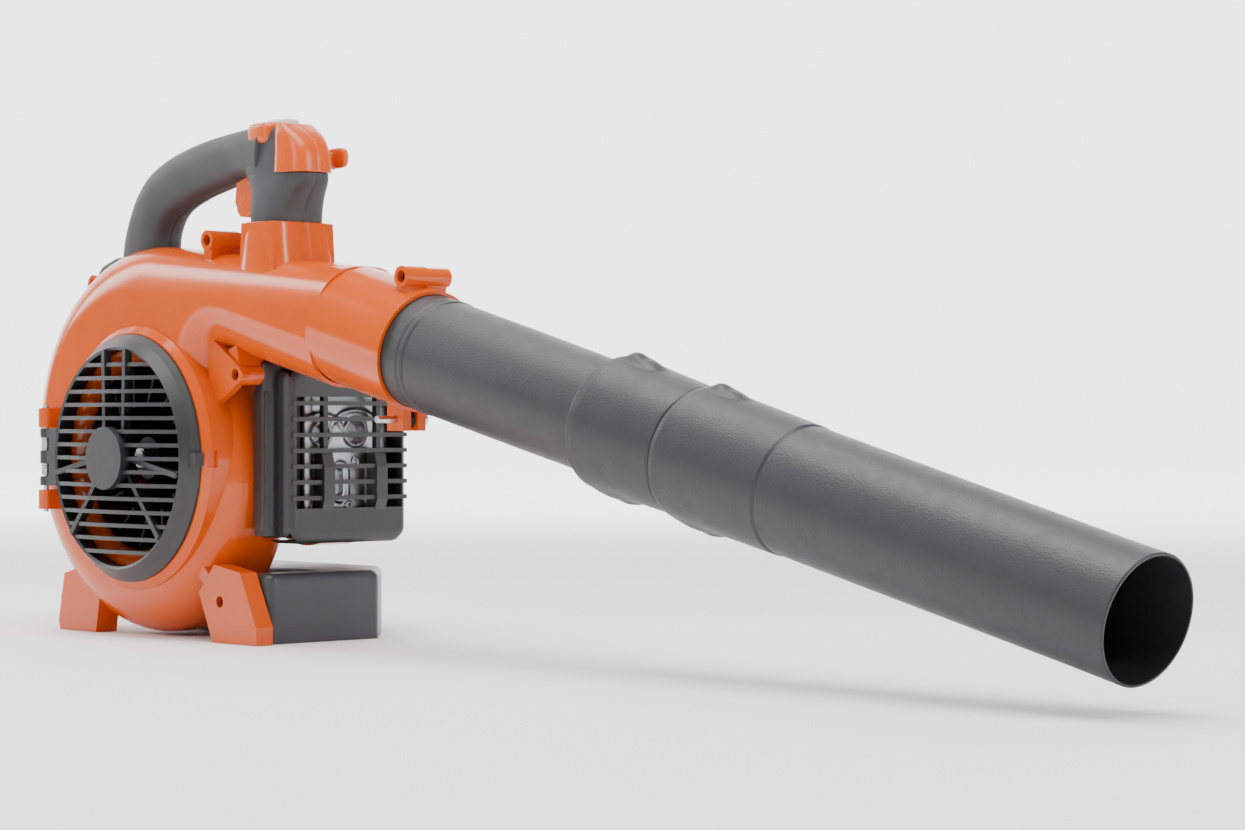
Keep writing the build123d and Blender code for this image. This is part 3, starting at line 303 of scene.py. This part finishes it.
def bump(s, theta, at, turn, long, wide, rise, lead=0.55):
    """Raised pad of height rise: a squared-off ellipse, long in distance and wide in degrees, with a rounded
    edge from lead outwards, and falling off towards the tip."""
    along = (s - at) / long
    across = ((theta - radians(turn) + pi) % (2 * pi) - pi) / radians(wide)
    reach = (np.abs(along) ** 2.6 + np.abs(across) ** 2.6) ** (1 / 2.6)
    return rise * (1 - smooth_step(reach, lead, 1.0)) * (1 - 0.35 * smooth_step(along, -0.2, 1.0))


def tube_shell(name, outside, wall, pads, end_round=0.5):
    """Thin turned tube: (distance, radius) points outside, the wall's thickness inside them, and pads added
    to the outer radius. Point = collar + s * along + r * (cos(theta) * upward + sin(theta) * y)."""
    outside = np.asarray(outside, float)
    s = np.unique(np.concatenate([np.arange(outside[0, 0], outside[-1, 0], 2.2), outside[:, 0]]))
    r = np.interp(s, outside[:, 0], outside[:, 1])
    shrink = np.zeros_like(s)
    shrink[[0, -1]] = end_round
    ring_s = np.concatenate([s, s[::-1]])
    ring_r = np.concatenate([r - shrink, (r - wall)[::-1]])
    is_out = np.concatenate([np.ones(len(s)), np.zeros(len(s))])
    theta = np.linspace(0, 2 * pi, 193)[:-1]
    grid_s, grid_t = np.meshgrid(ring_s, theta, indexing="ij")
    radius = np.repeat(ring_r[:, None], len(theta), axis=1)
    for pad in pads:
        radius = radius + is_out[:, None] * bump(grid_s, grid_t, *pad)
    radial = np.cos(grid_t)[..., None] * UPWARD + np.sin(grid_t)[..., None] * np.array([0, 1.0, 0])
    return surface(name, (COLLAR + grid_s[..., None] * ALONG + radius[..., None] * radial) * MM,
                   FINISHES["tube_plastic"], wrap_u=True, wrap_v=True)


def build_tubes():
    """Three sections: the upper tube with its stop ring, then the coupling sleeve and the nozzle, each with
    lock pads."""
    upper = tube_shell(
        "upper_tube_shell",
        [(-60, 40.2), (17, 40.2), (17.6, 39.7), (18.4, 39.7), (19, 40.7), (23, 40.7), (23.8, 40.1),
         (24.6, 39.6), (25.6, 40.1), (120, 39.1), (200, 37.8), (270, 37.4)], 2.0, [])
    sleeve = tube_shell(
        "coupling_shell",
        [(COUPLING_S, 43.6), (202.4, 44.7), (209, 45.0), (240, 43.6), (277.2, 42.2), (278.4, 41.4),
         (279, 40.0), (300, 39.8), (338, 39.4)], 1.8,
        [(222, -4, 21, 13, 3.2, 0.35), (214, -4, 9, 9, 1.6, 0.2), (222, 180, 24, 30, 2.2, 0.3),
         (232, 182, 12, 12, 1.4, 0.3)])
    nozzle = tube_shell(
        "nozzle_shell",
        [(NOZZLE_S + 0.5, 42.5), (281, 43.4), (284, 43.8), (330, 42.9), (370, 41.95), (STEP_S, 41.9),
         (372.8, 41.3), (374.2, 40.7), (375.4, 41.1), (480, 40.1), (608, 38.9), (TIP_S - 1, 38.9),
         (TIP_S, 38.7)], 1.7,
        [(300, -2, 20, 13, 2.9, 0.35), (293, -2, 9, 9, 1.6, 0.2), (300, 180, 24, 30, 2.4, 0.3),
         (312, 182, 12, 12, 1.4, 0.3)])
    for piece, body, cad in ((upper, "housing", "upper_tube"), (sleeve, "coupling", "coupling_tube"),
                             (nozzle, "nozzle", "nozzle_tube")):
        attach(piece, body)
        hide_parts(cad)


# ---- handle -------------------------------------------------------------
# outer and inner edge of the grip in X and Z, its half width, and how square its section is
GRIP = [(-62, 274, -15, 280, 18.0, 3.0), (-61, 292, -15, 295, 18.0, 2.9), (-57, 307, -13.5, 304, 18.0, 2.8),
        (-51, 322, -9, 311, 18.0, 2.6), (-42, 337, -3, 316.5, 18.0, 2.5), (-27, 351, 5, 320.5, 18.0, 2.4),
        (-3, 362, 18, 325, 18.0, 2.3), (25, 369, 36, 330, 18.0, 2.3), (51, 373.4, 58, 334.5, 18.0, 2.3),
        (76, 376, 80, 338.5, 18.2, 2.4), (100, 377.6, 97, 341, 19.5, 2.7), (128, 377.9, 124, 338, 22.0, 3.2)]
# height, back and front edge and half width of the control block
BLOCK = [(306.4, 117.0, 154.0, 26.0), (316, 115.5, 156.5, 25.4), (326, 114.0, 162.0, 24.0),
         (334, 110.0, 169.0, 22.6), (341, 104.0, 171.5, 21.6), (352, 103.0, 171.0, 20.6),
         (362, 104.0, 167.5, 19.6), (370, 107.0, 160.5, 18.4), (378, 112.0, 148.0, 15.0)]
INSERT_EDGE = 341.5     # height of the lower edge of the control insert


def groove(y, depth=0.9, wide=0.55):
    """Depth of the parting line between the two handle halves, a narrow bell round y = 0."""
    return depth * np.exp(-(y / wide) ** 2)


def around(count, crowd=0.03):
    """Angles round a section, crowded next to 0 and pi where the parting line runs."""
    near = [0, crowd / 3, crowd * 2 / 3, crowd, crowd * 1.6]
    quarter = np.concatenate([near, np.linspace(crowd * 3, pi / 2, count)])
    half = np.concatenate([quarter, (pi - quarter)[::-1][1:]])
    return np.concatenate([half, (2 * pi - half)[::-1][1:-1]])


def grip_sections():
    """Rounded-box sections across the grip: middle + h * cos^(2/n) + w * y * sin^(2/n)."""
    rows = flowing(GRIP, 150)
    outer, inner = rows[:, 0:2], rows[:, 2:4]
    middle, half = (outer + inner) / 2, (outer - inner) / 2
    phi = around(26)
    square = 2 / rows[:, 5][:, None]
    up = power(np.cos(phi)[None, :], square)
    side = power(np.sin(phi)[None, :], square) * rows[:, 4][:, None]
    up = up * (1 - groove(side) / np.linalg.norm(half, axis=1)[:, None])
    grid = np.stack([middle[:, :1] + half[:, :1] * up, side, middle[:, 1:] + half[:, 1:] * up], axis=-1)
    return grid


def block_sections(rows, grow=0.0, back=None, tuck=0.0, count=30):
    """Rounded-box sections up the control block, narrower towards the front. Above the insert's lower edge
    the front steps back by tuck. The section grows by grow all round, or starts at back in X where given."""
    z, rear, front, wide = rows.T
    front = front - tuck * smooth_step(z, 341.2, 342.6)
    rear = rear - grow if back is None else np.full_like(rear, back)
    front, wide = front + grow, wide + grow
    phi = around(count)
    square = 2 / 3.6
    reach = power(np.cos(phi)[None, :], square)
    side = power(np.sin(phi)[None, :], square)
    x = (front + rear)[:, None] / 2 + (front - rear)[:, None] / 2 * reach
    forward = np.clip((x - 110) / 60, 0, 1)
    y = wide[:, None] * side * (1 - 0.22 * forward ** 2)
    x = x - groove(y) * (reach > 0)
    return np.stack([x, y, np.repeat(z[:, None], len(phi), axis=1)], axis=-1)


def build_handle():
    """Soft-touch grip and block as one closed skin each, with a groove for the parting line, then the orange
    front insert, the switch bezel and the cruise lever."""
    grip = surface("grip_skin", grip_sections() * MM, FINISHES["grip_rubber"], wrap_v=True, caps=True)
    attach(grip, "housing")
    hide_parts("handle_outer_half")
    rows = flowing(BLOCK, 130)
    block = surface("control_block_skin", block_sections(rows, tuck=9.0) * MM, FINISHES["grip_rubber"],
                    wrap_v=True, caps=True)
    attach(block, "housing")
    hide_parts("handle_inner_half")
    upper = rows[rows[:, 0] > INSERT_EDGE]
    insert = block_sections(upper, 0.7, 139.0, count=60)
    front = surface("insert_skin", insert * MM, FINISHES["control_orange"], wrap_v=True, caps=True)
    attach(front, "housing")
    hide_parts("control_insert")
    bezel = rounded_box("bezel_skin", (124.5, -1.5, 371.2), (14.5, 19.6, 8.9), 4.2, "control_orange")
    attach(bezel, "housing")
    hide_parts("switch_bezel")
    lever = rounded_box("cruise_paddle", (156, 29.6, 354), (11.5, 3.2, 7.5), 3.4, "control_orange")
    hub = rounded_box("cruise_hub", (150, 25, 352), (6.5, 6.5, 6.5), 4.0, "control_orange")
    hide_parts("cruise_lever")
    for piece in (lever, hub):
        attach(piece, "cruise")


def build_post():
    """Flared orange post that carries the handle: rounded-box sections from the scroll's roof up to the
    block, with the parting line of the two scroll halves down the middle of its front."""
    rows = flowing([(262, 108.0, 166.0, 33.0), (272, 111.5, 161.0, 30.5), (284, 113.6, 157.8, 29.2),
                    (296, 115.0, 155.6, 28.4), (306.4, 116.6, 154.2, 27.6)], 60)
    z, rear, front, wide = rows.T
    phi = around(26)
    reach = power(np.cos(phi)[None, :], 2 / 5.5)
    side = power(np.sin(phi)[None, :], 2 / 5.5)
    y = wide[:, None] * side * (1 - 0.10 * (reach > 0) * reach ** 2)
    x = (front + rear)[:, None] / 2 + (front - rear)[:, None] / 2 * reach - groove(y, 0.8) * (reach > 0)
    grid = np.stack([x, y, np.repeat(z[:, None], len(phi), axis=1)], axis=-1)
    post = surface("handle_post_skin", grid * MM, FINISHES["orange_shell"], wrap_v=True, caps=True)
    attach(post, "housing")


def rounded_box(name, middle, half, square, finish):
    """Superellipsoid |x/a|^n + |y/b|^n + |z/c|^n = 1, with a, b, c in half and n in square."""
    lat = np.linspace(-pi / 2, pi / 2, 49)[1:-1]
    lon = np.linspace(0, 2 * pi, 97)[:-1]
    lat, lon = np.meshgrid(lat, lon, indexing="ij")
    e = 2 / square
    level = power(np.cos(lat), e)
    shape = np.stack([level * power(np.cos(lon), e), level * power(np.sin(lon), e), power(np.sin(lat), e)],
                     axis=-1)
    return surface(name, (np.array(middle) + shape * np.array(half)) * MM, FINISHES[finish],
                   wrap_v=True, caps=True)


# ---- muffler ------------------------------------------------------------
FACE_Y, FACE_Z = (26.5, 105.5), (92.5, 197.5)     # sides, bottom and top of the pressed front
FACE_BACK, FACE_EDGE, FACE_MOST = 109.0, 117.5, 123.8     # X of its back, its edge and its highest point


def build_muffler():
    """Pressed steel box: its front is a height field x(y, z) with two raised outlet rims, a hood bead over
    each, four screws, an oval hole and upright ribs."""
    y = np.linspace(*FACE_Y, 150)
    z = np.linspace(*FACE_Z, 200)
    gy, gz = np.meshgrid(y, z, indexing="ij")
    edge = np.minimum(np.minimum(gy - FACE_Y[0], FACE_Y[1] - gy), np.minimum(gz - FACE_Z[0], FACE_Z[1] - gz))
    height = FACE_EDGE + 4.0 * np.sqrt(1 - (1 - np.clip(edge / 7, 0, 1)) ** 2)
    for port_y, port_z, port_r in ((40, 152.5, 8.5), (72, 154.0, 10.0)):
        far = np.hypot(gy - port_y, gz - port_z)
        rim = 2.4 * np.exp(-((far - port_r) / 1.5) ** 2)
        height += rim - 9.0 * (1 - smooth_step(far, port_r - 2.2, port_r - 0.8))
        hood = np.hypot((gy - port_y) / 1.35, gz - port_z + 1)
        height += 1.6 * np.exp(-((hood - port_r - 7) / 1.8) ** 2) * smooth_step(gz, port_z, port_z + 8)
    for line_y in (48, 84, 92):
        rib = 1.5 * np.exp(-((gy - line_y) / 1.9) ** 2)
        height += rib * (1 - smooth_step(gz, 128, 136)) * smooth_step(gz, 97, 102)
    slot_far = np.hypot(gy - 58, np.maximum(np.abs(gz - 117) - 7, 0))
    height += 1.4 * np.exp(-((slot_far - 7) / 1.6) ** 2) - 5.0 * (1 - smooth_step(slot_far, 2.6, 3.6))
    for screw_y, screw_z in ((38, 133.5), (72, 132), (66, 99), (34, 99)):
        far = np.hypot(gy - screw_y, gz - screw_z)
        height += 1.8 * (1 - smooth_step(far, 3.4, 4.0)) - 2.2 * (1 - smooth_step(far, 1.5, 1.9))
    height = np.minimum(height, FACE_MOST)
    front = np.stack([height, gy, gz], axis=-1)
    back = front.copy()
    back[..., 0] = FACE_BACK
    ring = np.concatenate([front, back[::-1]], axis=0)
    closed = surface("muffler_face", ring * MM, FINISHES["muffler_steel"], wrap_u=True)
    shut_sides(closed)
    drum = rounded_box("muffler_drum", (84, 77.5, 145), (26.5, 28.5, 53), 8.0, "muffler_steel")
    neck = rounded_box("muffler_neck", (46, 89, 189.5), (14, 15, 10.5), 6.0, "muffler_steel")
    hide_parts("muffler")
    for piece in (closed, drum, neck):
        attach(piece, "housing")


SHOULDER_LOW, SHOULDER_TOP, SHOULDER_ROUND = 77, 207, 9


def build_shoulder():
    """Plain shoulder of the muffler cover that hugs the scroll's flank beside the windows: a rounded slab
    whose section is a squared-off oval, drawn in at its top and bottom."""
    z = np.linspace(SHOULDER_LOW, SHOULDER_TOP, 80)
    end = np.minimum(z - SHOULDER_LOW, SHOULDER_TOP - z) / SHOULDER_ROUND
    draw_in = 5 * (1 - np.sqrt(1 - np.clip(1 - end, 0, 1) ** 2))
    phi = np.linspace(0, 2 * pi, 73)[:-1]
    x = 114.0 + (7.2 - draw_in * 0.6)[:, None] * power(np.cos(phi)[None, :], 0.4)
    y = 7.0 + (17.0 - draw_in)[:, None] * power(np.sin(phi)[None, :], 0.4)
    grid = np.stack([x, y, np.repeat(z[:, None], len(phi), axis=1)], axis=-1)
    slab = surface("cover_shoulder", grid * MM, FINISHES["cover_plastic"], wrap_v=True, caps=True)
    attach(slab, "housing")


def shut_sides(piece):
    """Fills the two open side loops of a folded sheet and turns all faces outwards."""
    shell = bmesh.new()
    shell.from_mesh(piece.data)
    bmesh.ops.holes_fill(shell, edges=[edge for edge in shell.edges if edge.is_boundary], sides=0)
    bmesh.ops.recalc_face_normals(shell, faces=shell.faces)
    shell.to_mesh(piece.data)
    shell.free()


# ---- intake -------------------------------------------------------------
def fan_ring(name, profile, finish, count=192):
    """Ring round the fan axis from closed (radius, y) points: (r * cos, y, fan height + r * sin)."""
    profile = np.asarray(profile, float)
    turn = np.linspace(0, 2 * pi, count + 1)[:-1]
    r, y = profile[:, 0][:, None], profile[:, 1][:, None]
    grid = np.stack([r * np.cos(turn), y + 0 * turn, FAN_Z + r * np.sin(turn)], axis=-1)
    return surface(name, grid * MM, FINISHES[finish], wrap_u=True, wrap_v=True)


RING_R, RING_Y = 20.0, -69.15     # middle of the bead's section


def build_intake():
    """Orange bell mouth behind the grille, the two wound door springs, and a beaded ring in the grille's
    middle disc. The disc is wider and thicker than the ring and hides it."""
    curve = np.linspace(0, pi / 2, 12)
    lip = np.stack([83.8 - 15 * np.sin(curve), -45 + 9 * (1 - np.cos(curve))], axis=-1)
    bell = fan_ring("intake_bell", np.vstack([lip, lip[::-1] + (0.4, 2.0)]), "orange_shell")
    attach(bell, "housing")
    bead = np.linspace(0, 2 * pi, 15)[:-1]
    section = np.stack([RING_R + 1.4 * np.cos(bead), RING_Y + 0.8 * np.sin(bead)], axis=-1)
    ring = fan_ring("boss_ring", section, "cover_plastic", 128)
    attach(ring, "grille_door")
    for number, middle in enumerate((FAN_Z - 10, FAN_Z + 10)):
        spring = coil(f"door_spring_{number + 1}", (-107.5, -51, middle - 4.2), 3.45, 0.62, 8.4, 6)
        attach(spring, "housing")
        if number == 0:
            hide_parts("grille_springs")


def coil(name, start, radius, wire, height, turns):
    """Wound wire: a helix about a vertical line carrying a round section, closed at both ends."""
    angle = np.linspace(0, 2 * pi * turns, 40 * turns)
    out = np.stack([np.cos(angle), np.sin(angle), 0 * angle], axis=-1)
    centre = np.array(start) + out * radius
    centre[:, 2] += height * angle / angle[-1]
    phi = np.linspace(0, 2 * pi, 11)[:-1]
    grid = centre[:, None] + wire * (np.cos(phi)[None, :, None] * out[:, None]
                                     + np.sin(phi)[None, :, None] * np.array([0, 0, 1.0]))
    return surface(name, grid * MM, FINISHES["steel"], wrap_v=True, caps=True)


# ---- engine side --------------------------------------------------------
def dense(corners, step=7.0):
    """The polygon's corners with points about a step apart between them, so that only the corners get
    rounded."""
    corners = np.asarray(corners, float)
    spans = []
    for start, end in zip(corners, np.roll(corners, -1, axis=0)):
        count = max(2, int(np.hypot(*(end - start)) / step))
        spans.append(start + (end - start) * np.linspace(0, 1, count, endpoint=False)[:, None])
    return np.vstack(spans)


def softened(corners, rounds=4):
    """Closed outline with its corners cut back by a quarter of each side, rounds times (Chaikin's rule)."""
    outline = np.asarray(corners, float)
    for _ in range(rounds):
        after = np.roll(outline, -1, axis=0)
        pairs = np.stack([0.75 * outline + 0.25 * after, 0.25 * outline + 0.75 * after], axis=1)
        outline = pairs.reshape(-1, 2)
    return outline


def lid(name, corners, y_from, y_to, edge, finish):
    """Moulded lid: an outline in X and Z carried along Y, drawn in towards its middle at both ends by a
    quarter-round of radius edge."""
    outline = softened(dense(corners))
    middle = outline.mean(axis=0)
    y = np.concatenate([y_from + edge * (1 - np.cos(np.linspace(0, pi / 2, 9))),
                        y_to - edge * (1 - np.cos(np.linspace(pi / 2, 0, 9)))])
    inset = edge * (1 - np.sqrt(1 - np.clip(1 - np.minimum(y - y_from, y_to - y) / edge, 0, 1) ** 2))
    out = outline - middle
    far = np.linalg.norm(out, axis=1)[None, :, None]
    ring = middle + out[None] * (1 - inset[:, None, None] / far)
    grid = np.stack([ring[..., 0], np.repeat(y[:, None], len(outline), axis=1), ring[..., 1]], axis=-1)
    return surface(name, grid * MM, FINISHES[finish], wrap_v=True, caps=True)


def build_filter():
    """Rounded filter lid with its rear wing."""
    main = lid("filter_lid", [(-148, 216), (-153.5, 248), (-117.5, 284), (-96, 290), (-75, 290), (-75, 243),
                              (-81, 243), (-81, 161), (-111, 161)], 42.5, 121.5, 9.0, "cover_plastic")
    wing = lid("filter_wing", [(-149, 238), (-154, 248), (-118, 284), (-97, 290), (-82, 290), (-92, 281)],
               6.5, 60, 2.5, "cover_plastic")
    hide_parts("air_filter_cover")
    for piece in (main, wing):
        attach(piece, "housing")


# radius and y of the starter's face, from its hole outwards
STARTER_RISE = [(31, 158.2), (30.5, 160), (30.5, 170), (31.5, 172.4), (34, 173.4), (38, 173.2), (42, 172.8),
                (46, 172.2), (50, 171.3), (53, 169.8), (55.5, 167), (57, 163), (57.6, 158.2)]
SLOT_DEPTH, SPOKE_WAVES = 6.5, 14     # each wave gives two slots


def build_starter_face():
    """Turned starter face (r * cos, y, fan height + r * sin), pressed in by slots between its spokes."""
    rows = flowing(STARTER_RISE, 60)
    turn = np.linspace(0, 2 * pi, 481)[:-1]
    spoke = smooth_step(np.abs(np.sin(SPOKE_WAVES * turn)), 0.35, 0.6)
    window = smooth_step(rows[:, 0], 35, 37) * (1 - smooth_step(rows[:, 0], 51, 53)) * (rows[:, 1] > 165)
    y = rows[:, 1][:, None] - SLOT_DEPTH * window[:, None] * spoke[None, :]
    r = rows[:, 0][:, None]
    grid = np.stack([r * np.cos(turn), y, FAN_Z + r * np.sin(turn)], axis=-1)
    face = surface("starter_face", grid * MM, FINISHES["cover_plastic"], wrap_u=True, wrap_v=True)
    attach(face, "housing")
    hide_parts("starter_grille")


def build_primer():
    """Primer bulb, a rounded box flattened in height."""
    bulb = rounded_box("primer_dome", (-62, 89, 161.4), (7.9, 7.9, 3.4), 2.6, "black_rubber")
    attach(bulb, "housing")
    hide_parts("primer_bulb")
    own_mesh(bulb)


def build_trigger_ribs():
    """Four finger ribs side by side on the trigger, each a little further forward than the last."""
    for number in range(4):
        middle = (83.5 + 0.9 * number, -5.4 + 3.6 * number, 327)
        rib = rounded_box(f"trigger_rib_{number + 1}", middle, (3.2, 1.0, 11.5), 3.0, "control_orange")
        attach(rib, "trigger")


# ---- starter rope -------------------------------------------------------
ROPE_X, ROPE_Y, ROPE_R = -53, 142.5, 1.75
STRANDS, STRAND_SWELL, LAY_MM = 3, 0.22, 27     # the three strands wind once round in LAY_MM


def build_rope():
    """Three-strand cord from the starter up to its grip: r = ROPE_R + swell * cos(strands * (theta - 2 pi z /
    lay))."""
    z = np.concatenate([np.linspace(166, 194, 120), np.linspace(194.2, 199, 12)])
    theta = np.linspace(0, 2 * pi, 37)[:-1]
    gz, gt = np.meshgrid(z, theta, indexing="ij")
    r = ROPE_R + STRAND_SWELL * np.cos(STRANDS * (gt - 2 * pi * gz / LAY_MM))
    grid = np.stack([ROPE_X + r * np.cos(gt), ROPE_Y + r * np.sin(gt), gz], axis=-1)
    rope = surface("pull_rope", grid * MM, FINISHES["rope_fabric"], wrap_v=True, caps=True)
    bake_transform(rope)


def studio_light():
    """Even pale sky, a wide lamp overhead, and three narrow ones that draw long highlights on the shell."""
    world = bpy.data.worlds.new("studio")
    bpy.context.scene.world = world
    world.use_nodes = True
    sky = world.node_tree.nodes["Background"]
    sky.inputs["Color"].default_value = (1, 1, 1, 1)
    sky.inputs["Strength"].default_value = SKY_STRENGTH
    softbox("overhead", (0.4, -0.2, 2.3), (0.4, 0, 0), 2.6, 1.6, 105)
    softbox("front_left", (0.2, -2.6, 1.5), (0.1, 0, 0.2), 0.9, 1.6, 30)
    softbox("right_edge", (2.6, 0.9, 1.1), (0.1, 0, 0.18), 0.5, 1.6, 30)
    softbox("left_edge", (-2.0, -0.8, 1.3), (0.0, 0, 0.2), 0.6, 1.6, 30)


camera()
dress_cad()
floor()
build_tubes()
build_handle()
build_post()
build_muffler()
build_shoulder()
build_intake()
build_filter()
build_starter_face()
build_primer()
build_trigger_ribs()
build_rope()
studio_light()
